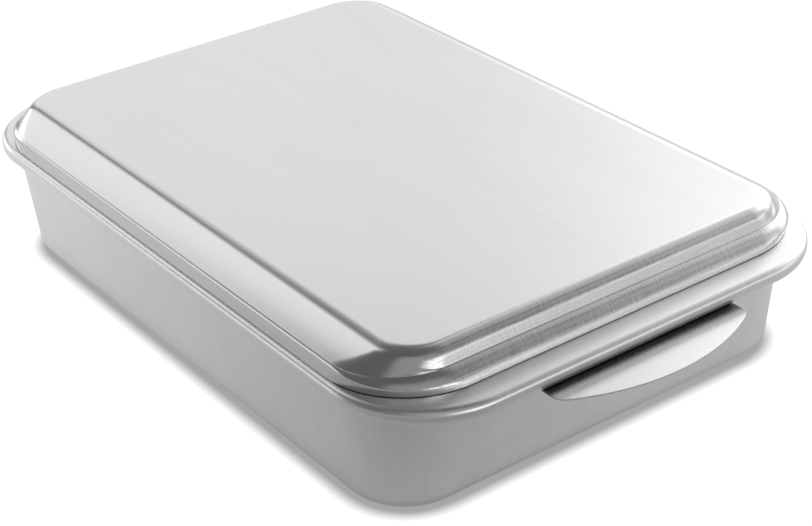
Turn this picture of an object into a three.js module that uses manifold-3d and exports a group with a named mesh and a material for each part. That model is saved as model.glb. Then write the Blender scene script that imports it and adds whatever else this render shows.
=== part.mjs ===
// Covered cake pan: a drawn aluminium pan with a rolled rim over a steel wire, two crescent tab
// handles hooked over that wire, and a drawn aluminium cover that rests on the rim.
// Millimetres, +Z up. The origin is the centre of the underside, and +X runs along the length.

import * as THREE from 'three';
import { mergeVertices } from 'three/addons/utils/BufferGeometryUtils.js';
import Module from 'manifold-3d';

const wasm = await Module();
wasm.setup();

// Pan
const panSheet = 1.0;
const panHeight = 59.3;
const mouthLength = 326;
const mouthWidth = 232;
const wallDraft = 5.5;
const mouthCorner = 33;
const baseFillet = 7;

// Rim: a flat flange, wide at the two ends and narrow along the sides, with a tight edge and a roll
const endFlange = 13.2;
const sideFlange = 1.4;
const rimCorner = 43;
const rimBend = 1.5;
const rimEdge = 2;
const rollEndAngle = -100;
const wireDiameter = 3.2;

// Handles
const handleSheet = 0.8;
const hookLength = 101;
const hookStartAngle = -20;
const tabBend = 2;
const tabWidth = 103;
const tabReach = 20.6;
const tabArc = 101;
const tabTipRadius = 6.5;

// Cover
const coverSheet = 0.8;
const coverLength = 335.8;
const coverWidth = 237.5;
const coverCorner = 41;
const coverRise = 15.1;
const shoulderRise = 6.3;
const shoulderEndInset = 7.9;
const shoulderSideInset = 0.55;
const shoulderCorner = 35;
const shoulderBend = 1;
const ledge = 1.5;
const plateauLength = 305.4;
const plateauWidth = 197.4;
const plateauCorner = 17;
const plateauRound = 5;
const plateauEndTilt = 66;
const plateauSideTilt = 45;
const slopeBulge = 0.6;
const skirtEndRound = 6;
const skirtEndTilt = 74;
const skirtSideRound = 2.5;
const skirtSideTilt = 84;

// Fits
const seatGap = 0.3;
const hookGap = 0.3;
const wireGap = 0.6;

// Smoothness of the round stretches
const cornerSteps = 8;
const filletSteps = 4;
const bendSteps = 3;
const rollSteps = 6;
const coverSteps = 4;
const wireSides = 8;
const hookSteps = 10;
const tabSteps = 24;

// Sizes worked out from the ones above
const wireRadius = wireDiameter / 2;
const hookRadius = wireRadius + hookGap;
const endRoll = hookRadius + handleSheet + hookGap;
const sideRoll = wireRadius + wireGap;
const rollHeight = panHeight - panSheet - endRoll;
const mouthHalfLength = mouthLength / 2 + panSheet;
const mouthHalfWidth = mouthWidth / 2 + panSheet;
const rimHalfLength = mouthHalfLength + endFlange;
const rimHalfWidth = mouthHalfWidth + sideFlange;
const draftAngle = Math.atan2(wallDraft, panHeight);
const coverSeat = panHeight + seatGap;
const coverTop = coverSeat + coverRise;

const radians = THREE.MathUtils.degToRad;

// Points of an arc in a profile, from one angle to another in radians
function arc(centreX, centreY, radius, from, to, steps) {
  const points = [];
  for (let i = 0; i <= steps; i += 1) {
    const angle = from + ((to - from) * i) / steps;
    points.push(new THREE.Vector2(centreX + radius * Math.cos(angle), centreY + radius * Math.sin(angle)));
  }
  return points;
}

// Evenly spaced points from one point to another, both included
function straight(from, to, steps) {
  const points = [];
  for (let i = 0; i <= steps; i += 1) {
    points.push(from.clone().lerp(to, i / steps));
  }
  return points;
}

// The other face of a bent sheet: the profile moved to its left by a distance, mitred at each bend
function offsetProfile(points, distance) {
  return points.map((point, i) => {
    const before = points[Math.max(i - 1, 0)];
    const here = points[i];
    const after = points[Math.min(i + 1, points.length - 1)];
    const arriving = here.clone().sub(i > 0 ? before : here).normalize();
    const leaving = after.clone().sub(here).normalize();
    const first = i > 0 ? arriving : leaving;
    const last = i < points.length - 1 ? leaving : arriving;
    const firstNormal = new THREE.Vector2(-first.y, first.x);
    const lastNormal = new THREE.Vector2(-last.y, last.x);
    const mitre = firstNormal.clone().add(lastNormal).normalize();
    return point.clone().addScaledVector(mitre, distance / mitre.dot(firstNormal));
  });
}

// One closed line round the object: a rounded rectangle whose height may differ between ends and sides
function ring(station) {
  const points = [];
  for (let quarter = 0; quarter < 4; quarter += 1) {
    const alongX = quarter === 0 || quarter === 3 ? 1 : -1;
    const alongY = quarter < 2 ? 1 : -1;
    for (let step = 0; step <= cornerSteps; step += 1) {
      const angle = (Math.PI / 2) * (quarter + step / cornerSteps);
      const endShare = Math.cos(angle) ** 2;
      points.push(new THREE.Vector3(
        alongX * (station.halfLength - station.corner) + station.corner * Math.cos(angle),
        alongY * (station.halfWidth - station.corner) + station.corner * Math.sin(angle),
        station.endHeight * endShare + station.sideHeight * (1 - endShare),
      ));
    }
  }
  return points;
}

// A closed skin through a row of rings, capped at its two ends or joined last to first
function loft(stations, joined) {
  const rings = stations.map(ring);
  const count = rings[0].length;
  const positions = rings.flat().flatMap((point) => point.toArray());
  const index = [];
  const bands = joined ? rings.length : rings.length - 1;
  for (let i = 0; i < bands; i += 1) {
    const low = i * count;
    const high = ((i + 1) % rings.length) * count;
    for (let j = 0; j < count; j += 1) {
      const next = (j + 1) % count;
      index.push(low + j, low + next, high + next);
      index.push(low + j, high + next, high + j);
    }
  }
  if (!joined) {
    const first = positions.length / 3;
    const last = first + 1;
    const top = (rings.length - 1) * count;
    positions.push(0, 0, stations[0].endHeight);
    positions.push(0, 0, stations[stations.length - 1].endHeight);
    for (let j = 0; j < count; j += 1) {
      const next = (j + 1) % count;
      index.push(first, next, j);
      index.push(last, top + j, top + next);
    }
  }
  const geometry = new THREE.BufferGeometry();
  geometry.setAttribute('position', new THREE.Float32BufferAttribute(positions, 3));
  geometry.setIndex(index);
  geometry.computeVertexNormals();
  return geometry;
}

// Boolean join of closed geometries
function toSolid(geometry) {
  const bare = geometry.clone();
  bare.deleteAttribute('normal');
  bare.deleteAttribute('uv');
  const merged = mergeVertices(bare);
  const mesh = new wasm.Mesh({
    numProp: 3,
    vertProperties: new Float32Array(merged.attributes.position.array),
    triVerts: new Uint32Array(merged.index.array),
  });
  return new wasm.Manifold(mesh);
}

function toGeometry(solid) {
  const mesh = solid.getMesh();
  const geometry = new THREE.BufferGeometry();
  geometry.setAttribute('position', new THREE.Float32BufferAttribute(mesh.vertProperties, 3));
  geometry.setIndex(new THREE.Uint32BufferAttribute(mesh.triVerts, 1));
  geometry.computeVertexNormals();
  return geometry;
}

// Under face of the pan's sheet, from the flat of the base to the raw edge of the roll.
// The first coordinate is the distance out from the wall line at the level of the rim.
function panProfile(flange, rollRadius) {
  const filletCentre = new THREE.Vector2(
    -wallDraft - baseFillet * Math.tan(Math.PI / 4 - draftAngle / 2),
    baseFillet,
  );
  const base = arc(filletCentre.x, filletCentre.y, baseFillet, -Math.PI / 2, -draftAngle, filletSteps);
  const underFlange = panHeight - panSheet;
  const bendTurn = Math.PI / 2 - draftAngle;
  const wallAtFlange = -panSheet * Math.tan(draftAngle);
  const bendCentreX = wallAtFlange + rimBend * Math.tan(bendTurn / 2);
  const bend = arc(bendCentreX, underFlange - rimBend, rimBend, Math.PI - draftAngle, Math.PI / 2, bendSteps);
  const edgeCentreX = flange + rollRadius + panSheet - rimEdge;
  const edge = arc(edgeCentreX, panHeight - rimEdge, rimEdge - panSheet, Math.PI / 2, 0, bendSteps);
  const roll = arc(flange, rollHeight, rollRadius, 0, radians(rollEndAngle), rollSteps);
  return { wall: [...base, ...bend], roll: [...edge, ...roll] };
}

function panStations() {
  const end = panProfile(endFlange, endRoll);
  const side = panProfile(sideFlange, sideRoll);
  const wallCount = end.wall.length;
  const faces = [0, panSheet].map((thickness) => {
    const endFace = offsetProfile([...end.wall, ...end.roll], thickness);
    const sideFace = offsetProfile([...side.wall, ...side.roll], thickness);
    return endFace.map((point, i) => ({
      halfLength: mouthHalfLength + point.x,
      halfWidth: mouthHalfWidth + sideFace[i].x,
      corner: i < wallCount
        ? mouthCorner + panSheet + point.x
        : rimCorner + (point.x - endFlange + sideFace[i].x - sideFlange) / 2,
      endHeight: point.y,
      sideHeight: sideFace[i].y,
    }));
  });
  return [...faces[0], ...faces[1].reverse()];
}

// Outer face of the cover's sheet. The first coordinate is the distance out from the flat top's edge.
// Each profile has the same number of points: a rounded edge, the run down to the shoulder and the skirt.
function coverEndProfile() {
  const shoulderX = (coverLength - plateauLength) / 2 - shoulderEndInset;
  const shoulderZ = coverSeat + shoulderRise;
  const edgeX = (coverLength - plateauLength) / 2;
  const turn = radians(plateauEndTilt);
  const rounded = arc(0, coverTop - plateauRound, plateauRound, Math.PI / 2, Math.PI / 2 - turn, coverSteps);
  const foot = new THREE.Vector2(shoulderX - shoulderBend, shoulderZ + shoulderBend);
  const crease = new THREE.Vector2(shoulderX, shoulderZ);
  const lip = new THREE.Vector2(shoulderX + ledge, shoulderZ);
  const skirtTurn = radians(skirtEndTilt);
  const skirt = arc(lip.x, lip.y - skirtEndRound, skirtEndRound,
    Math.PI / 2, Math.PI / 2 - skirtTurn, coverSteps);
  return [...rounded, foot, crease, ...skirt, new THREE.Vector2(edgeX, coverSeat)];
}

function coverSideProfile() {
  const shoulderX = (coverWidth - plateauWidth) / 2 - shoulderSideInset;
  const shoulderZ = coverSeat + shoulderRise;
  const edgeX = (coverWidth - plateauWidth) / 2;
  const turn = radians(plateauSideTilt);
  const rounded = arc(0, coverTop - plateauRound, plateauRound, Math.PI / 2, Math.PI / 2 - turn, coverSteps);
  const crease = rounded[rounded.length - 1];
  const slopeTurn = Math.atan2(crease.y - shoulderZ, shoulderX - crease.x);
  const skirtTurn = radians(skirtSideTilt);
  const skirtCentreX = shoulderX - skirtSideRound * Math.sin(skirtTurn);
  const skirt = arc(skirtCentreX, shoulderZ - skirtSideRound * Math.cos(slopeTurn), skirtSideRound,
    Math.PI / 2 - slopeTurn, Math.PI / 2 - skirtTurn, coverSteps);
  const outward = new THREE.Vector2(Math.sin(slopeTurn), Math.cos(slopeTurn));
  const slope = straight(crease, skirt[0], 3).map((point, i) => {
    const share = i / 3;
    return point.addScaledVector(outward, 4 * slopeBulge * share * (1 - share));
  }).slice(1, 3);
  return [...rounded, ...slope, ...skirt, new THREE.Vector2(edgeX, coverSeat)];
}

function coverStations() {
  const end = coverEndProfile();
  const side = coverSideProfile();
  const shoulderRun = (coverWidth - plateauWidth) / 2 - shoulderSideInset;
  const corners = side.map((point, i) => {
    if (i === side.length - 1) {
      return coverCorner;
    }
    const share = Math.min(point.x / shoulderRun, 1);
    return plateauCorner + (shoulderCorner - plateauCorner) * share;
  });
  const faces = [0, -coverSheet].map((thickness) => {
    const endFace = offsetProfile(end, thickness);
    const sideFace = offsetProfile(side, thickness);
    return endFace.map((point, i) => ({
      halfLength: plateauLength / 2 + point.x,
      halfWidth: plateauWidth / 2 + sideFace[i].x,
      corner: corners[i] + (point.x - end[i].x + sideFace[i].x - side[i].x) / 2,
      endHeight: i === end.length - 1 ? coverSeat : point.y,
      sideHeight: i === end.length - 1 ? coverSeat : sideFace[i].y,
    }));
  });
  return [...faces[1], ...faces[0].reverse()];
}

// The wire lies on the centre line of the roll, all the way round
function wireStations() {
  const stations = [];
  for (let i = 0; i < wireSides; i += 1) {
    const angle = (2 * Math.PI * i) / wireSides;
    const out = wireRadius * Math.cos(angle);
    const height = rollHeight + wireRadius * Math.sin(angle);
    stations.push({
      halfLength: rimHalfLength + out,
      halfWidth: rimHalfWidth + out,
      corner: rimCorner + out,
      endHeight: height,
      sideHeight: height,
    });
  }
  return stations;
}

// Strip of the handle: a hook over the wire, a leg down through the open side of the roll and a bend
// that turns it outward under the roll
const tabTop = rollHeight - endRoll - panSheet - hookGap;
const tabRootX = rimHalfLength - hookRadius + tabBend;

function handleStrip() {
  const hook = arc(rimHalfLength, rollHeight, hookRadius, radians(hookStartAngle), Math.PI, hookSteps);
  const bend = arc(tabRootX, tabTop + tabBend, tabBend, Math.PI, (3 * Math.PI) / 2, bendSteps);
  const lip = new THREE.Vector2(tabRootX + handleSheet, tabTop);
  const inner = [...hook, ...bend, lip];
  const outer = offsetProfile(inner, -handleSheet);
  const outline = new THREE.Shape([...inner, ...outer.reverse()]);
  const strip = new THREE.ExtrudeGeometry(outline, { depth: hookLength, bevelEnabled: false });
  strip.rotateX(Math.PI / 2);
  strip.translate(0, hookLength / 2, 0);
  return strip;
}

// Flat crescent of the handle: one long arc with a round corner and a short straight edge at each end
function handleTab() {
  const reach = rimHalfLength + endRoll + panSheet + tabReach;
  const arcCentre = reach - tabArc;
  const tipHalf = tabWidth / 2 - tabTipRadius;
  const tipX = arcCentre + Math.sqrt((tabArc - tabTipRadius) ** 2 - tipHalf ** 2);
  const tipAngle = Math.atan2(tipHalf, tipX - arcCentre);
  const outline = new THREE.Shape([
    new THREE.Vector2(tabRootX, tabWidth / 2),
    new THREE.Vector2(tabRootX, -tabWidth / 2),
    ...arc(tipX, -tipHalf, tabTipRadius, -Math.PI / 2, -tipAngle, hookSteps),
    ...arc(arcCentre, 0, tabArc, -tipAngle, tipAngle, tabSteps).slice(1, -1),
    ...arc(tipX, tipHalf, tabTipRadius, tipAngle, Math.PI / 2, hookSteps),
  ]);
  const tab = new THREE.ExtrudeGeometry(outline, { depth: handleSheet, bevelEnabled: false });
  tab.translate(0, 0, tabTop - handleSheet);
  return tab;
}

function handleGeometry() {
  return toGeometry(toSolid(handleStrip()).add(toSolid(handleTab())));
}

const aluminium = new THREE.MeshStandardMaterial({ color: 0xd2d3d4, roughness: 0.36, metalness: 1 });
const coverAluminium = new THREE.MeshStandardMaterial({ color: 0xdadbdc, roughness: 0.42, metalness: 1 });
const tabAluminium = new THREE.MeshStandardMaterial({ color: 0xdcdddd, roughness: 0.32, metalness: 1 });
const steel = new THREE.MeshStandardMaterial({ color: 0x9a9c9e, roughness: 0.4, metalness: 1 });

function piece(name, geometry, material) {
  const mesh = new THREE.Mesh(geometry, material);
  mesh.name = name;
  return mesh;
}

const pan = new THREE.Group();
pan.add(piece('pan_body', loft(panStations(), false), aluminium));
pan.add(piece('rim_wire', loft(wireStations(), true), steel));
pan.add(piece('handle_front', handleGeometry(), tabAluminium));
const handleBack = piece('handle_back', handleGeometry(), tabAluminium);
handleBack.rotation.z = Math.PI;
pan.add(handleBack);

const coveredPan = new THREE.Group();
coveredPan.add(pan);
coveredPan.add(piece('lid', loft(coverStations(), false), coverAluminium));

export default coveredPan;
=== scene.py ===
"""Covered cake pan: the looks of the drawn pan, its rolled rim, rim wire, tabs and cover, in metres."""

import math

import bmesh
import bpy
from mathutils import Matrix, Vector


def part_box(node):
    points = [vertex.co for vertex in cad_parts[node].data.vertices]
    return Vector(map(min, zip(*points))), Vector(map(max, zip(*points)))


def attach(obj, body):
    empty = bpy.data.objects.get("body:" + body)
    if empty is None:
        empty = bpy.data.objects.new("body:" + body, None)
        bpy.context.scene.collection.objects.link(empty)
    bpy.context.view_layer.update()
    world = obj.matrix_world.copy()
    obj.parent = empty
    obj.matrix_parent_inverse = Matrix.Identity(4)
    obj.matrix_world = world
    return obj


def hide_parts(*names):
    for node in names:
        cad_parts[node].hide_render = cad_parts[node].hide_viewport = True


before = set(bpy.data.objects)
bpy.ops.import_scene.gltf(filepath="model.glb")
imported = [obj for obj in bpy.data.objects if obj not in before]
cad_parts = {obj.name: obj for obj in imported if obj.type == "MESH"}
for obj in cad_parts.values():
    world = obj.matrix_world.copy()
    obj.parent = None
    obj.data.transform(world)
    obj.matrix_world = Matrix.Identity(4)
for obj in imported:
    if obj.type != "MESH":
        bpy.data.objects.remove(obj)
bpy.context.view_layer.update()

# Places read from the frame
pan_low, pan_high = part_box("pan_body")
wire_low, wire_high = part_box("rim_wire")
tab_low, tab_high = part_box("handle_front")
cover_low, cover_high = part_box("lid")

# Rim wire and rolled edge, with angles in degrees
WIRE_RADIUS = (wire_high.z - wire_low.z) / 2
ROLL_HEIGHT = (wire_high.z + wire_low.z) / 2
ROLL_HALF_LENGTH = wire_high.x - WIRE_RADIUS
ROLL_HALF_WIDTH = wire_high.y - WIRE_RADIUS
RIM_TOP = pan_high.z
RIM_CORNER = 0.043
RIM_EDGE = 0.003
ROLL_END_ANGLE = -100

# Pan
PAN_SHEET = 0.0010
PAN_BASE = pan_low.z
END_ROLL = pan_high.x - ROLL_HALF_LENGTH - PAN_SHEET
SIDE_ROLL = pan_high.y - ROLL_HALF_WIDTH - PAN_SHEET
END_FLANGE = 0.0132
SIDE_FLANGE = 0.0014
WALL_DRAFT = 0.0055
MOUTH_CORNER = 0.034
BASE_FILLET = 0.007
RIM_BEND = 0.0015
WALL_HALF_LENGTH = ROLL_HALF_LENGTH - END_FLANGE
WALL_HALF_WIDTH = ROLL_HALF_WIDTH - SIDE_FLANGE
DRAFT_ANGLE = math.degrees(math.atan2(WALL_DRAFT, RIM_TOP - PAN_BASE))

# Tab handles
TAB_SHEET = 0.0008
TAB_HOOK_GAP = 0.0003
TAB_BEND = 0.0020
TAB_TIP_RADIUS = 0.0065
TAB_ARC = 0.101
TAB_REACH = tab_high.x
HOOK_HALF = 0.0505
TAB_TIP_HALF = tab_high.y - TAB_TIP_RADIUS
TAB_TOP = tab_low.z + TAB_SHEET
HOOK_RADIUS = WIRE_RADIUS + TAB_HOOK_GAP
HOOK_START_ANGLE = -20
TAB_ROOT = ROLL_HALF_LENGTH - HOOK_RADIUS + TAB_BEND
# Painted shade on the tabs: their colour is darkest close to the rolled edge and fades out over this reach,
# where the fold's shade falls
FOLD_SHADE_FULL = pan_high.x + 0.0010
FOLD_SHADE_GONE = pan_high.x + 0.0055

# Cover, with tilts and turns in degrees
COVER_SHEET = 0.0008
COVER_TOP = cover_high.z
COVER_SEAT = cover_low.z
COVER_HALF_LENGTH = cover_high.x
COVER_HALF_WIDTH = cover_high.y
COVER_CORNER = 0.041
SHOULDER_HEIGHT = COVER_SEAT + 0.0063
SHOULDER_END_INSET = 0.0068
SHOULDER_SIDE_INSET = 0.0013
SHOULDER_CORNER = 0.035
CORNER_SPREAD = 1.6
END_STEP_HEIGHT = SHOULDER_HEIGHT + 0.0010
SHOULDER_FILLET = 0.0004
SHOULDER_FILLET_OUT = 0.00006
SHOULDER_FILLET_ANGLE = 200
LEDGE = 0.0007
PLATEAU_HALF_LENGTH = 0.1535
PLATEAU_HALF_WIDTH = 0.0987
PLATEAU_CORNER = 0.017
PLATEAU_END_ROUND = 0.0066
PLATEAU_END_TILT = 66
PLATEAU_SIDE_ROUND = 0.013
PLATEAU_SIDE_TILT = 26
SLOPE_TURN = 6
SKIRT_GROOVE_OUT = 0.72
SKIRT_GROOVE_DOWN = 0.5
SKIRT_TURN = 36
SKIRT_BAND_TURN = 20
SKIRT_SIDE_ROUND = 0.0025
SKIRT_SIDE_TILT = 76
SKIRT_FOOT = SHOULDER_HEIGHT - SKIRT_SIDE_ROUND

# Fineness of the meshes
CORNER_STEPS = 20
LONG_STEPS = 28
SHORT_STEPS = 20
BEND_STEPS = 6
SLOPE_STEPS = 6
FILLET_STEPS = 10
WALL_STEPS = 8
FLANGE_STEPS = 4
END_FACE_STEPS = 5
LEDGE_STEPS = 3
ROLL_STEPS = 16
WIRE_SIDES = 16
TAB_COLUMNS = 56
TAB_ROWS = 8
TIP_STEPS = 8
FLAT_INSETS = (0.0005, 0.0015, 0.004, 0.010, 0.022, 0.040, 0.060, 0.080)
SMALLEST_CORNER = 0.004
RAW_EDGE_BEVEL = 0.0002
RAW_EDGE_SEGMENTS = 2
RAW_EDGE_ANGLE = 60

# Finishes: dark and light colour, low and high roughness, and lines and marks per metre along each axis
PAN_COLOURS = ((0.87, 0.87, 0.875), (0.93, 0.93, 0.93))
PAN_ROUGHNESS = (0.30, 0.36)
PAN_STREAKS = (420, 420, 14)
PAN_SMUDGES = (30, 30, 40)
TAB_COLOURS = ((0.84, 0.84, 0.84), (0.90, 0.90, 0.90))
TAB_ROUGHNESS = (0.25, 0.30)
TAB_STREAKS = (600, 12, 300)
TAB_SMUDGES = (40, 40, 40)
# Painted shade colour for the tabs' fold under the rolled edge
FOLD_SHADE_COLOUR = (0.20, 0.20, 0.20)
WIRE_COLOURS = ((0.50, 0.50, 0.51), (0.60, 0.60, 0.61))
WIRE_ROUGHNESS = (0.30, 0.45)
WIRE_STREAKS = (300, 300, 900)
WIRE_SMUDGES = (60, 60, 60)
COVER_COLOURS = ((0.73, 0.73, 0.73), (0.79, 0.79, 0.79))
COVER_LEAST_ROUGHNESS = 0.19
COVER_GRAIN = (7, 520, 300)
COVER_SMUDGES = (7, 24, 24)
END_STROKES = (90, 1100, 90)
END_SCRATCHES = (800, 16, 800)
END_SCRATCH_THINNESS = 0.04
STREAK_DEPTH = 0.00005
STREAK_BUMP = 0.12
BRUSHED_DEPTH = 0.00006
BRUSHED_BUMP = 0.35
NOISE_SPREAD = (0.3, 0.7)

# Camera at the photograph's viewing angle
VIEW_AZIMUTH = math.radians(54.36)
VIEW_ELEVATION = math.radians(29.6)
VIEW_ROLL = math.radians(-2.3)
VIEW_TARGET = Vector((0, 0, 0.042))
VIEW_DISTANCE = 0.90363
VIEW_RIGHT = 0.012075
VIEW_UP = -0.02666
LENS_MM = 85.16
SENSOR_MM = 36

# Floor: its size, its contact shade as the camera sees it, and its glow as the metal mirrors it
FLOOR_HALF = 6.0
FLOOR_DROP = 0.0002
SHADE_REACH = 0.010
SEEN_OPENNESS = (0.45, 0.85)
SEEN_GLOW = (0.38, 1.05)
NEARNESS = (-0.15, 0.27)
FAR_TO_NEAR_GLOW = (0.80, 0.25)
WIDE_REACH = (0.35, 0.8)
WIDE_GLOW = 0.5
MIRRORED_OPENNESS = (0.5, 1)
MIRRORED_SHADE = (0.75, 1)

# Soft boxes round the part, in degrees: compass 0 is +X and 90 is +Y
SOFT_BOX_SOCKETS = ("Compass", "Half width", "Height", "Half height", "Edge", "Strength")
ROOM_GLOW = 0.12
BACK_BOX = (125, 45, 15, 22, 4, 0.85)
HIGH_BACK_BOX = (102, 32, 46, 13, 6, 0.5)
RIGHT_BOX = (90, 44, 18, 26, 9, 0.55)
LEFT_BOX = (192, 13, 26, 24, 4, 0.95)
HIGH_LEFT_BOX = (193, 10, 55, 6, 3, 0.6)
LOW_LEFT_BOX = (208, 28, 6, 12, 5, 0.9)
SIDE_BOX = (44, 22, 4, 13, 5, 0.66)
LOW_FRONT_BOX = (7, 19, 5, 12, 5, 1.5)
CAMERA_BOX = (-15, 45, 34, 26, 10, 0.2)
BACK_BOXES = (BACK_BOX, HIGH_BACK_BOX, RIGHT_BOX)
LEFT_BOXES = (LEFT_BOX, HIGH_LEFT_BOX, LOW_LEFT_BOX)
FRONT_BOXES = (SIDE_BOX, LOW_FRONT_BOX, CAMERA_BOX)


# Profiles: lists of (distance out, height)

def arc(centre, radius, start, end, steps):
    """Points along a round stretch, from one angle to another in degrees."""
    middle = Vector(centre)
    points = []
    for i in range(steps + 1):
        angle = math.radians(start + (end - start) * i / steps)
        points.append(middle + radius * Vector((math.cos(angle), math.sin(angle))))
    return points


def straight(start, end, steps):
    """Points along a straight stretch, with both ends."""
    return [start.lerp(end, i / steps) for i in range(steps + 1)]


def bowed(start, end, turn, steps):
    """A line that bulges outward, turning by so many degrees from its start to its end."""
    run = end - start
    outward = Vector((-run.y, run.x))
    bulge = math.tan(math.radians(turn / 4)) / 2
    points = []
    for i in range(steps + 1):
        share = i / steps
        points.append(start.lerp(end, share) + outward * (4 * bulge * share * (1 - share)))
    return points


def pan_profile(flange, roll_radius):
    """Under face of the pan's sheet, out from the wall line at the rim: the wall, the flange, the roll."""
    half_bend = math.tan(math.radians(45 - DRAFT_ANGLE / 2))
    fillet_out = -WALL_DRAFT - BASE_FILLET * half_bend
    base = arc((fillet_out, BASE_FILLET), BASE_FILLET, -90, -DRAFT_ANGLE, FILLET_STEPS)
    under_flange = RIM_TOP - PAN_SHEET
    bend_out = RIM_BEND * half_bend - PAN_SHEET * math.tan(math.radians(DRAFT_ANGLE))
    bend = arc((bend_out, under_flange - RIM_BEND), RIM_BEND, 180 - DRAFT_ANGLE, 90, BEND_STEPS)
    wall = straight(base[-1], bend[0], WALL_STEPS)[1:-1]
    edge_out = flange + roll_radius + PAN_SHEET - RIM_EDGE
    edge = arc((edge_out, RIM_TOP - RIM_EDGE), RIM_EDGE - PAN_SHEET, 90, 0, BEND_STEPS)
    curl = arc((flange, ROLL_HEIGHT), roll_radius, 0, ROLL_END_ANGLE, ROLL_STEPS)
    flat = straight(bend[-1], edge[0], FLANGE_STEPS)[1:-1]
    return base + wall + bend, flat, edge + curl


def cover_end_profile():
    """Outer face of the cover's sheet at its two ends, measured out from the edge of the flat top."""
    shoulder = Vector((COVER_HALF_LENGTH - PLATEAU_HALF_LENGTH - SHOULDER_END_INSET, END_STEP_HEIGHT))
    edge = Vector((COVER_HALF_LENGTH - PLATEAU_HALF_LENGTH, COVER_SEAT))
    round_centre = (0, COVER_TOP - PLATEAU_END_ROUND)
    rounded = arc(round_centre, PLATEAU_END_ROUND, 90, 90 - PLATEAU_END_TILT, FILLET_STEPS)
    hollow_centre = shoulder + Vector((SHOULDER_FILLET_OUT, SHOULDER_FILLET))
    hollow = arc(hollow_centre, SHOULDER_FILLET, SHOULDER_FILLET_ANGLE, 270, BEND_STEPS)
    face = straight(rounded[-1], hollow[0], END_FACE_STEPS)[1:-1]
    lip = shoulder + Vector((LEDGE, 0))
    ledge = straight(hollow[-1], lip, LEDGE_STEPS)[1:-1]
    fall = edge - lip
    groove = lip + Vector((fall.x * SKIRT_GROOVE_OUT, fall.y * SKIRT_GROOVE_DOWN))
    skirt = bowed(lip, groove, SKIRT_TURN, FILLET_STEPS)
    band = bowed(groove, edge, SKIRT_BAND_TURN, BEND_STEPS)[1:]
    return rounded + face + hollow + ledge + skirt + band


def cover_side_profile(count):
    """Outer face of the cover's sheet along its two sides, with as many points as the end profile."""
    shoulder = Vector((COVER_HALF_WIDTH - PLATEAU_HALF_WIDTH - SHOULDER_SIDE_INSET, SHOULDER_HEIGHT))
    edge = Vector((COVER_HALF_WIDTH - PLATEAU_HALF_WIDTH, COVER_SEAT))
    round_centre = (0, COVER_TOP - PLATEAU_SIDE_ROUND)
    round_steps = FILLET_STEPS + SLOPE_STEPS
    rounded = arc(round_centre, PLATEAU_SIDE_ROUND, 90, 90 - PLATEAU_SIDE_TILT, round_steps)
    run = shoulder - rounded[-1]
    slope_tilt = math.degrees(math.atan2(-run.y, run.x))
    skirt_out = shoulder.x - SKIRT_SIDE_ROUND * math.sin(math.radians(SKIRT_SIDE_TILT))
    skirt_up = shoulder.y - SKIRT_SIDE_ROUND * math.cos(math.radians(slope_tilt))
    skirt_centre = (skirt_out, skirt_up)
    skirt_steps = count - len(rounded) - SLOPE_STEPS - BEND_STEPS
    skirt = arc(skirt_centre, SKIRT_SIDE_ROUND, 90 - slope_tilt, 90 - SKIRT_SIDE_TILT, skirt_steps)
    slope = bowed(rounded[-1], skirt[0], SLOPE_TURN, SLOPE_STEPS)[1:-1]
    foot = straight(skirt[-1], edge, BEND_STEPS)[1:]
    return rounded + slope + skirt + foot


# Lofts: each station is a rounded rectangle whose height may differ between ends and sides

def station(half_length, half_width, corner, end_height, side_height):
    return {
        "half_length": half_length,
        "half_width": half_width,
        "corner": corner,
        "end_height": end_height,
        "side_height": side_height,
    }


def flat_stations(outline):
    """Smaller copies of a flat outline, the smallest first, which keep the flat even as it is shaded."""
    made = []
    for inset in reversed(FLAT_INSETS):
        made.append(station(
            outline["half_length"] - inset,
            outline["half_width"] - inset,
            max(outline["corner"] - inset, SMALLEST_CORNER),
            outline["end_height"],
            outline["side_height"],
        ))
    return made


def ring(outline):
    """Points round one station, a corner and then a straight run, four times."""
    points = []
    corner = outline["corner"]
    for quarter in range(4):
        along_x = 1 if quarter in (0, 3) else -1
        along_y = 1 if quarter < 2 else -1
        centre_x = along_x * (outline["half_length"] - corner)
        centre_y = along_y * (outline["half_width"] - corner)
        for step in range(CORNER_STEPS + 1):
            angle = math.pi / 2 * (quarter + step / CORNER_STEPS)
            end_share = math.cos(angle) ** 2
            height = outline["end_height"] * end_share + outline["side_height"] * (1 - end_share)
            points.append(Vector((
                centre_x + corner * math.cos(angle),
                centre_y + corner * math.sin(angle),
                height,
            )))
        is_long = quarter in (0, 2)
        steps = LONG_STEPS if is_long else SHORT_STEPS
        half = outline["half_length"] if is_long else outline["half_width"]
        reach = 2 * (half - corner)
        turn = math.pi / 2 * (quarter + 1)
        ahead = Vector((-math.sin(turn), math.cos(turn), 0))
        last = points[-1].copy()
        for step in range(1, steps):
            points.append(last + ahead * (reach * step / steps))
    return points


def loft(name, stations, tube=False):
    """A skin through a row of rings: capped at the first ring, or joined last to first as a tube."""
    build = bmesh.new()
    rings = [[build.verts.new(point) for point in ring(outline)] for outline in stations]
    bands = list(zip(rings, rings[1:]))
    if tube:
        bands.append((rings[-1], rings[0]))
    else:
        build.faces.new(rings[0])
    count = len(rings[0])
    for inner, outer in bands:
        for i in range(count):
            after = (i + 1) % count
            build.faces.new((inner[i], outer[i], outer[after], inner[after]))
    return mesh_object(name, build)


def mesh_object(name, build):
    """A smooth-shaded object in the scene, made from a finished mesh."""
    for face in build.faces:
        face.smooth = True
    data = bpy.data.meshes.new(name)
    build.to_mesh(data)
    build.free()
    made = bpy.data.objects.new(name, data)
    bpy.context.scene.collection.objects.link(made)
    return made


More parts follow.
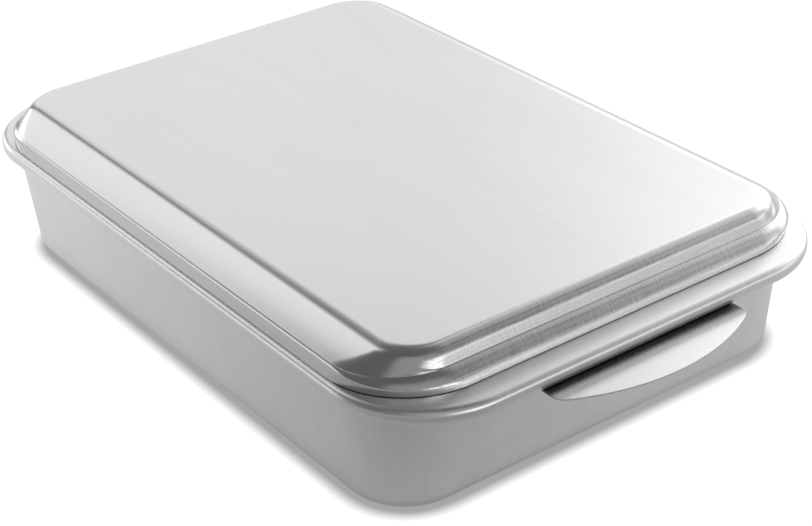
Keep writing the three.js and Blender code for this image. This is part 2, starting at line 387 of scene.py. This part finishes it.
def thicken(sheet, thickness, side):
    """Gives a surface its sheet thickness on one side, and rounds the raw edges."""
    solid = sheet.modifiers.new("sheet_thickness", "SOLIDIFY")
    solid.thickness = thickness
    solid.offset = side
    solid.use_even_offset = True
    solid.use_quality_normals = True
    bevel = sheet.modifiers.new("raw_edges", "BEVEL")
    bevel.width = RAW_EDGE_BEVEL
    bevel.segments = RAW_EDGE_SEGMENTS
    bevel.limit_method = "ANGLE"
    bevel.angle_limit = math.radians(RAW_EDGE_ANGLE)
    sheet.modifiers.new("flat_faces", "WEIGHTED_NORMAL")


# Pieces

def pan_station(end, side, corner):
    """One ring of the pan, through a point of its end profile and the same point of its side profile."""
    return station(WALL_HALF_LENGTH + end.x, WALL_HALF_WIDTH + side.x, corner, end.y, side.y)


def roll_corner(end, side):
    """Corner radius of the rim, as far out from the wire as these two profile points are."""
    return RIM_CORNER + (end.x - END_FLANGE + side.x - SIDE_FLANGE) / 2


def pan_shell():
    """One drawn sheet: the base and walls, the flange, whose corners ease into the rim's, and the roll."""
    end_wall, end_flat, end_roll = pan_profile(END_FLANGE, END_ROLL)
    side_wall, side_flat, side_roll = pan_profile(SIDE_FLANGE, SIDE_ROLL)
    stations = [pan_station(end, side, MOUTH_CORNER + end.x) for end, side in zip(end_wall, side_wall)]
    bend_corner = stations[-1]["corner"]
    edge_corner = roll_corner(end_roll[0], side_roll[0])
    for i, (end, side) in enumerate(zip(end_flat, side_flat)):
        share = (i + 1) / (len(end_flat) + 1)
        stations.append(pan_station(end, side, bend_corner + (edge_corner - bend_corner) * share))
    for end, side in zip(end_roll, side_roll):
        stations.append(pan_station(end, side, roll_corner(end, side)))
    shell = loft("pan_shell", flat_stations(stations[0]) + stations)
    thicken(shell, PAN_SHEET, 1)
    return shell


def rim_wire_rod():
    """The round wire that the rolled edge holds, a closed ring."""
    stations = []
    for i in range(WIRE_SIDES):
        angle = -2 * math.pi * i / WIRE_SIDES
        out = WIRE_RADIUS * math.cos(angle)
        height = ROLL_HEIGHT + WIRE_RADIUS * math.sin(angle)
        stations.append(station(
            ROLL_HALF_LENGTH + out, ROLL_HALF_WIDTH + out, RIM_CORNER + out, height, height))
    return loft("rim_wire_rod", stations, tube=True)


def tab_columns():
    """Places across the tab, closer together round its corners."""
    tips = []
    for i in range(1, TIP_STEPS + 1):
        tips.append(TAB_TIP_HALF + TAB_TIP_RADIUS * math.sin(math.pi / 2 * i / TIP_STEPS))
    middle = [TAB_TIP_HALF * (2 * i / TAB_COLUMNS - 1) for i in range(TAB_COLUMNS + 1)]
    return [-tip for tip in reversed(tips)] + middle + tips


def tab_edge(across):
    """How far out the tab reaches at one place across it: a long arc that runs into a round corner."""
    arc_centre = TAB_REACH - TAB_ARC
    tip_run = math.sqrt((TAB_ARC - TAB_TIP_RADIUS) ** 2 - TAB_TIP_HALF ** 2)
    tip_angle = math.atan2(TAB_TIP_HALF, tip_run)
    if abs(across) < TAB_ARC * math.sin(tip_angle):
        return arc_centre + math.sqrt(TAB_ARC ** 2 - across ** 2)
    past = min(abs(across) - TAB_TIP_HALF, TAB_TIP_RADIUS)
    return arc_centre + tip_run + math.sqrt(TAB_TIP_RADIUS ** 2 - past ** 2)


def tab(name):
    """One bent sheet at the front end: a hook over the wire, a leg, a bend and the flat crescent."""
    hook = arc((ROLL_HALF_LENGTH, ROLL_HEIGHT), HOOK_RADIUS, HOOK_START_ANGLE, 180, ROLL_STEPS)
    bend = arc((TAB_ROOT, TAB_TOP + TAB_BEND), TAB_BEND, 180, 270, BEND_STEPS)
    bent = hook + bend[:-1]
    build = bmesh.new()
    columns = []
    for across in tab_columns():
        column = []
        if abs(across) <= HOOK_HALF:
            column = [build.verts.new((point.x, across, point.y)) for point in bent]
        for row in range(TAB_ROWS + 1):
            out = TAB_ROOT + (tab_edge(across) - TAB_ROOT) * row / TAB_ROWS
            column.append(build.verts.new((out, across, TAB_TOP)))
        columns.append(column)
    for left, right in zip(columns, columns[1:]):
        shared = min(len(left), len(right))
        left = left[-shared:]
        right = right[-shared:]
        for i in range(shared - 1):
            build.faces.new((left[i], left[i + 1], right[i + 1], right[i]))
    made = mesh_object(name, build)
    thicken(made, TAB_SHEET, -1)
    return made


def cover_corner(side):
    """Corner radius of the cover: tight at the flat top, wider down to the shoulder and to the seat."""
    shoulder_out = COVER_HALF_WIDTH - PLATEAU_HALF_WIDTH - SHOULDER_SIDE_INSET
    slope_share = min(side.x / shoulder_out, 1)
    foot_share = max((SKIRT_FOOT - side.y) / (SKIRT_FOOT - COVER_SEAT), 0)
    at_slope = PLATEAU_CORNER + (SHOULDER_CORNER - PLATEAU_CORNER) * slope_share ** CORNER_SPREAD
    return at_slope + (COVER_CORNER - SHOULDER_CORNER) * foot_share


def cover_shell():
    """One drawn sheet: the flat top, stepped ends, sloping sides and the skirt."""
    end_face = cover_end_profile()
    side_face = cover_side_profile(len(end_face))
    stations = []
    for end, side in zip(end_face, side_face):
        stations.append(station(
            PLATEAU_HALF_LENGTH + end.x, PLATEAU_HALF_WIDTH + side.x, cover_corner(side), end.y, side.y))
    shell = loft("cover_shell", flat_stations(stations[0]) + stations)
    thicken(shell, COVER_SHEET, -1)
    return shell


# Shader nodes

def add(tree, kind, **settings):
    """A new node with its own settings."""
    made = tree.nodes.new(kind)
    for name, value in settings.items():
        setattr(made, name, value)
    return made


def feed(tree, socket, value):
    """Gives a socket a plain value, or a link from another socket."""
    if isinstance(value, bpy.types.NodeSocket):
        tree.links.new(value, socket)
    else:
        socket.default_value = value


def combined(tree, operation, first, second=0):
    """One step of arithmetic on two values."""
    made = add(tree, "ShaderNodeMath", operation=operation)
    feed(tree, made.inputs[0], first)
    feed(tree, made.inputs[1], second)
    return made.outputs["Value"]


def weighed(tree, *parts):
    """The sum of values, each times its weight."""
    total = 0.0
    for value, weight in parts:
        total = combined(tree, "ADD", combined(tree, "MULTIPLY", value, weight), total)
    return total


def mapped(tree, value, source, target, shape):
    """A value in the source range turned into one in the target range, and held there past the ends."""
    made = add(tree, "ShaderNodeMapRange", interpolation_type=shape)
    feed(tree, made.inputs["Value"], value)
    for name, limit in zip(("From Min", "From Max", "To Min", "To Max"), (*source, *target)):
        feed(tree, made.inputs[name], limit)
    return made.outputs["Result"]


def linear(tree, value, source, target):
    """A value carried straight from one range to another."""
    return mapped(tree, value, source, target, "LINEAR")


def risen(tree, value, low, high):
    """0 up to low and 1 from high on, with soft ends."""
    return mapped(tree, value, (low, high), (0, 1), "SMOOTHSTEP")


def faded(tree, value, near, far):
    """1 up to near and 0 from far on, with soft ends."""
    return mapped(tree, value, (near, far), (1, 0), "SMOOTHSTEP")


def mixed(tree, kind, share, first, second):
    """A blend from the first colour or number to the second."""
    made = add(tree, "ShaderNodeMix", data_type=kind)
    feed(tree, made.inputs["Factor"], share)
    feed(tree, made.inputs["A"], first)
    feed(tree, made.inputs["B"], second)
    return made.outputs["Result"]


def sheet_colour(tree, share, colours):
    """The metal's colour, from its dark one to its light one."""
    dark, light = colours
    return mixed(tree, "RGBA", share, (*dark, 1), (*light, 1))


def bumped(tree, shader, height, distance, strength):
    """Presses a pattern of heights into the surface."""
    bump = tree.nodes.new("ShaderNodeBump")
    feed(tree, bump.inputs["Distance"], distance)
    feed(tree, bump.inputs["Strength"], strength)
    feed(tree, bump.inputs["Height"], height)
    feed(tree, shader.inputs["Normal"], bump.outputs["Normal"])


def part_place(tree):
    """The place on the part, in metres."""
    return tree.nodes.new("ShaderNodeTexCoord").outputs["Object"]


def distance_along_length(tree):
    """Distance from the middle of the part towards either end."""
    split = tree.nodes.new("ShaderNodeSeparateXYZ")
    feed(tree, split.inputs["Vector"], part_place(tree))
    return combined(tree, "ABSOLUTE", split.outputs["X"])


# Shader groups that the finishes share

def shader_group(name, inputs, output):
    """An empty group with named inputs, each with its kind and usual value, and one named output."""
    tree = bpy.data.node_groups.new(name, "ShaderNodeTree")
    for label, kind, value in inputs:
        socket = tree.interface.new_socket(name=label, in_out="INPUT", socket_type=kind)
        socket.default_value = value
    tree.interface.new_socket(name=output, in_out="OUTPUT", socket_type="NodeSocketFloat")
    entry = tree.nodes.new("NodeGroupInput")
    leave = tree.nodes.new("NodeGroupOutput")
    return tree, entry, leave


def placed_group(tree, group, values):
    """A group set into a material or the room with its own values. Gives the group's one output."""
    made = add(tree, "ShaderNodeGroup", node_tree=group)
    for name, value in values.items():
        made.inputs[name].default_value = value
    return made.outputs[0]


def stretched_noise(tree, entry, detail):
    """Noise over the part with its own density per metre along each axis."""
    scaled = add(tree, "ShaderNodeVectorMath", operation="MULTIPLY")
    feed(tree, scaled.inputs[0], part_place(tree))
    feed(tree, scaled.inputs[1], entry.outputs["Density"])
    noise = tree.nodes.new("ShaderNodeTexNoise")
    feed(tree, noise.inputs["Vector"], scaled.outputs["Vector"])
    feed(tree, noise.inputs["Scale"], 1.0)
    feed(tree, noise.inputs["Detail"], detail)
    return noise


def streaks_group():
    """Fine lines of a rolled or drawn sheet."""
    inputs = [("Density", "NodeSocketVector", PAN_STREAKS)]
    tree, entry, leave = shader_group("drawn_streaks", inputs, "Streak")
    noise = stretched_noise(tree, entry, detail=3.0)
    feed(tree, leave.inputs["Streak"], risen(tree, noise.outputs["Fac"], *NOISE_SPREAD))
    return tree


def smudges_group():
    """Soft cloudy marks left by handling and by the oven."""
    inputs = [("Density", "NodeSocketVector", PAN_SMUDGES)]
    tree, entry, leave = shader_group("handling_smudges", inputs, "Smudge")
    noise = stretched_noise(tree, entry, detail=4.0)
    feed(tree, noise.inputs["Roughness"], 0.55)
    feed(tree, noise.inputs["Distortion"], 0.6)
    feed(tree, leave.inputs["Smudge"], risen(tree, noise.outputs["Fac"], *NOISE_SPREAD))
    return tree


def scratches_group():
    """Sparse thin lines, where a stretched noise crosses its middle value."""
    inputs = [
        ("Density", "NodeSocketVector", END_SCRATCHES),
        ("Thinness", "NodeSocketFloat", END_SCRATCH_THINNESS),
    ]
    tree, entry, leave = shader_group("fine_scratches", inputs, "Scratch")
    noise = stretched_noise(tree, entry, detail=2.0)
    off_middle = combined(tree, "ABSOLUTE", combined(tree, "SUBTRACT", noise.outputs["Fac"], 0.5))
    feed(tree, leave.inputs["Scratch"], faded(tree, off_middle, 0, entry.outputs["Thinness"]))
    return tree


STREAKS = streaks_group()
SMUDGES = smudges_group()
SCRATCHES = scratches_group()


# Finishes

def metal(name):
    """A bare metal material, with its nodes and its one shader."""
    material = bpy.data.materials.new(name)
    material.use_nodes = True
    tree = material.node_tree
    shader = tree.nodes["Principled BSDF"]
    shader.inputs["Metallic"].default_value = 1.0
    return material, tree, shader


def sheet_finish(name, colours, roughness, streaks, smudges):
    """Satin metal: streaks along its drawing direction and soft smudges."""
    material, tree, shader = metal(name)
    streak = placed_group(tree, STREAKS, {"Density": streaks})
    smudge = placed_group(tree, SMUDGES, {"Density": smudges})
    share = weighed(tree, (streak, 0.4), (smudge, 0.6))
    feed(tree, shader.inputs["Base Color"], sheet_colour(tree, share, colours))
    feed(tree, shader.inputs["Roughness"], linear(tree, share, (0, 1), roughness))
    bumped(tree, shader, streak, STREAK_DEPTH, STREAK_BUMP)
    return material


def pan_finish():
    """Satin pan, with upright draw lines on its walls."""
    return sheet_finish("satin_pan_aluminium", PAN_COLOURS, PAN_ROUGHNESS, PAN_STREAKS, PAN_SMUDGES)


def wire_finish():
    """Drawn steel wire."""
    return sheet_finish("drawn_wire_steel", WIRE_COLOURS, WIRE_ROUGHNESS, WIRE_STREAKS, WIRE_SMUDGES)


def tab_finish():
    """Satin tab with painted shade: its colour darkens in the fold under the rolled edge, where shade
    falls.
    """
    material = sheet_finish("satin_tab_aluminium", TAB_COLOURS, TAB_ROUGHNESS, TAB_STREAKS, TAB_SMUDGES)
    tree = material.node_tree
    colour = tree.nodes["Principled BSDF"].inputs["Base Color"]
    unshaded = colour.links[0].from_socket
    # Painted shade: darkest next to the fold, fading to the tab's own colour further out
    clear = risen(tree, distance_along_length(tree), FOLD_SHADE_FULL, FOLD_SHADE_GONE)
    feed(tree, colour, mixed(tree, "RGBA", clear, (*FOLD_SHADE_COLOUR, 1), unshaded))
    return material


def cover_end_band(tree):
    """1 on the steep faces and skirts at the cover's two ends, 0 on its top and sides."""
    out = distance_along_length(tree)
    return risen(tree, out, PLATEAU_HALF_LENGTH, PLATEAU_HALF_LENGTH + PLATEAU_END_ROUND)


def cover_finish():
    """Lightly brushed along the length, with strokes and scratches on the drawn end bands."""
    material, tree, shader = metal("satin_cover_aluminium")
    grain = placed_group(tree, STREAKS, {"Density": COVER_GRAIN})
    smudge = placed_group(tree, SMUDGES, {"Density": COVER_SMUDGES})
    strokes = placed_group(tree, STREAKS, {"Density": END_STROKES})
    scratch = placed_group(
        tree, SCRATCHES, {"Density": END_SCRATCHES, "Thinness": END_SCRATCH_THINNESS})
    marks = weighed(tree, (strokes, 0.5), (scratch, 0.5))
    worn = combined(tree, "MULTIPLY", cover_end_band(tree), marks)
    share = weighed(tree, (grain, 0.3), (smudge, 0.7), (worn, -0.9))
    feed(tree, shader.inputs["Base Color"], sheet_colour(tree, share, COVER_COLOURS))
    rough = weighed(tree, (smudge, 0.04), (grain, 0.02), (worn, 0.10))
    feed(tree, shader.inputs["Roughness"], combined(tree, "ADD", rough, COVER_LEAST_ROUGHNESS))
    bumped(tree, shader, weighed(tree, (grain, 0.25), (worn, 1.0)), BRUSHED_DEPTH, BRUSHED_BUMP)
    return material


# Studio

def camera():
    """The camera that took the photograph, turned and shifted off the part's middle."""
    back = Vector((
        math.sin(VIEW_AZIMUTH) * math.cos(VIEW_ELEVATION),
        -math.cos(VIEW_AZIMUTH) * math.cos(VIEW_ELEVATION),
        math.sin(VIEW_ELEVATION),
    ))
    level = Vector((0, 0, 1)).cross(back).normalized()
    rise = back.cross(level)
    right = math.cos(VIEW_ROLL) * level + math.sin(VIEW_ROLL) * rise
    up = -math.sin(VIEW_ROLL) * level + math.cos(VIEW_ROLL) * rise
    data = bpy.data.cameras.new("photo_camera")
    data.lens = LENS_MM
    data.sensor_width = SENSOR_MM
    made = bpy.data.objects.new("photo_camera", data)
    turn = Matrix((right, up, back)).transposed().to_4x4()
    place = VIEW_TARGET + right * VIEW_RIGHT + up * VIEW_UP + back * VIEW_DISTANCE
    made.matrix_world = Matrix.Translation(place) @ turn
    bpy.context.scene.collection.objects.link(made)
    bpy.context.scene.camera = made


def mirrored_glow(tree, openness):
    """The floor's glow in the metal: dimmer towards the camera, even far away, shaded at the part."""
    place = part_place(tree)
    nearness = add(tree, "ShaderNodeVectorMath", operation="DOT_PRODUCT")
    feed(tree, nearness.inputs[0], place)
    feed(tree, nearness.inputs[1], (math.sin(VIEW_AZIMUTH), -math.cos(VIEW_AZIMUTH), 0))
    away = add(tree, "ShaderNodeVectorMath", operation="LENGTH")
    feed(tree, away.inputs[0], place)
    close = linear(tree, nearness.outputs["Value"], NEARNESS, FAR_TO_NEAR_GLOW)
    wide = linear(tree, away.outputs["Value"], WIDE_REACH, (0, 1))
    glow = mixed(tree, "FLOAT", wide, close, WIDE_GLOW)
    return combined(tree, "MULTIPLY", glow, linear(tree, openness, MIRRORED_OPENNESS, MIRRORED_SHADE))


def floor_material():
    """White to the camera with a thin contact shade, and a soft fall of brightness in the metal."""
    material = bpy.data.materials.new("white_floor")
    material.use_nodes = True
    tree = material.node_tree
    tree.nodes.clear()
    shade = tree.nodes.new("ShaderNodeAmbientOcclusion")
    feed(tree, shade.inputs["Distance"], SHADE_REACH)
    openness = shade.outputs["AO"]
    seen = linear(tree, openness, SEEN_OPENNESS, SEEN_GLOW)
    rays = tree.nodes.new("ShaderNodeLightPath")
    strength = mixed(tree, "FLOAT", rays.outputs["Is Camera Ray"], mirrored_glow(tree, openness), seen)
    glow = tree.nodes.new("ShaderNodeEmission")
    feed(tree, glow.inputs["Strength"], strength)
    leave = tree.nodes.new("ShaderNodeOutputMaterial")
    feed(tree, leave.inputs["Surface"], glow.outputs["Emission"])
    return material


def floor():
    """A wide white floor just under the pan."""
    build = bmesh.new()
    corners = []
    for along_x, along_y in ((-1, -1), (1, -1), (1, 1), (-1, 1)):
        corners.append(build.verts.new((along_x * FLOOR_HALF, along_y * FLOOR_HALF, -FLOOR_DROP)))
    build.faces.new(corners)
    made = mesh_object("studio_floor", build)
    made.data.materials.append(floor_material())


def soft_box_group():
    """Brightness of a soft box by compass and height in degrees: full inside its half sizes, soft edges."""
    inputs = [(name, "NodeSocketFloat", 0.0) for name in SOFT_BOX_SOCKETS]
    tree, entry, leave = shader_group("soft_box", inputs, "Glow")
    split = tree.nodes.new("ShaderNodeSeparateXYZ")
    feed(tree, split.inputs["Vector"], tree.nodes.new("ShaderNodeTexCoord").outputs["Generated"])
    turn = combined(tree, "ARCTAN2", split.outputs["Y"], split.outputs["X"])
    compass = combined(tree, "DEGREES", turn)
    around = add(tree, "ShaderNodeMath", operation="WRAP")
    feed(tree, around.inputs[0], combined(tree, "SUBTRACT", compass, entry.outputs["Compass"]))
    feed(tree, around.inputs[1], 180)
    feed(tree, around.inputs[2], -180)
    height = combined(tree, "DEGREES", combined(tree, "ARCSINE", split.outputs["Z"]))
    rise = combined(tree, "SUBTRACT", height, entry.outputs["Height"])
    glow = entry.outputs["Strength"]
    for off, half in ((around.outputs["Value"], "Half width"), (rise, "Half height")):
        near = combined(tree, "SUBTRACT", entry.outputs[half], entry.outputs["Edge"])
        far = combined(tree, "ADD", entry.outputs[half], entry.outputs["Edge"])
        fade = faded(tree, combined(tree, "ABSOLUTE", off), near, far)
        glow = combined(tree, "MULTIPLY", glow, fade)
    feed(tree, leave.inputs["Glow"], glow)
    return tree


def studio_world():
    """A dim room with soft boxes behind, to the left and in front."""
    world = bpy.data.worlds.new("soft_studio")
    bpy.context.scene.world = world
    world.use_nodes = True
    tree = world.node_tree
    group = soft_box_group()
    total = ROOM_GLOW
    for settings in BACK_BOXES + LEFT_BOXES + FRONT_BOXES:
        box = placed_group(tree, group, dict(zip(SOFT_BOX_SOCKETS, settings)))
        total = combined(tree, "ADD", box, total)
    feed(tree, tree.nodes["Background"].inputs["Color"], total)


def colour_settings():
    """Shows the light as it is, with no film look over it."""
    view = bpy.context.scene.view_settings
    view.view_transform = "Standard"
    view.look = "None"


def dress(piece, body, node, material):
    """Gives a piece its finish and its body, and hides the frame's node that it stands for."""
    piece.data.materials.append(material)
    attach(piece, body)
    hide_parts(node)


def main():
    camera()
    floor()
    studio_world()
    colour_settings()
    tab_metal = tab_finish()
    front_tab = tab("front_tab")
    back_tab = tab("back_tab")
    back_tab.data.transform(Matrix.Rotation(math.pi, 4, "Z"))
    dress(pan_shell(), "pan", "pan_body", pan_finish())
    dress(rim_wire_rod(), "pan", "rim_wire", wire_finish())
    dress(front_tab, "pan", "handle_front", tab_metal)
    dress(back_tab, "pan", "handle_back", tab_metal)
    dress(cover_shell(), "cover", "lid", cover_finish())


main()
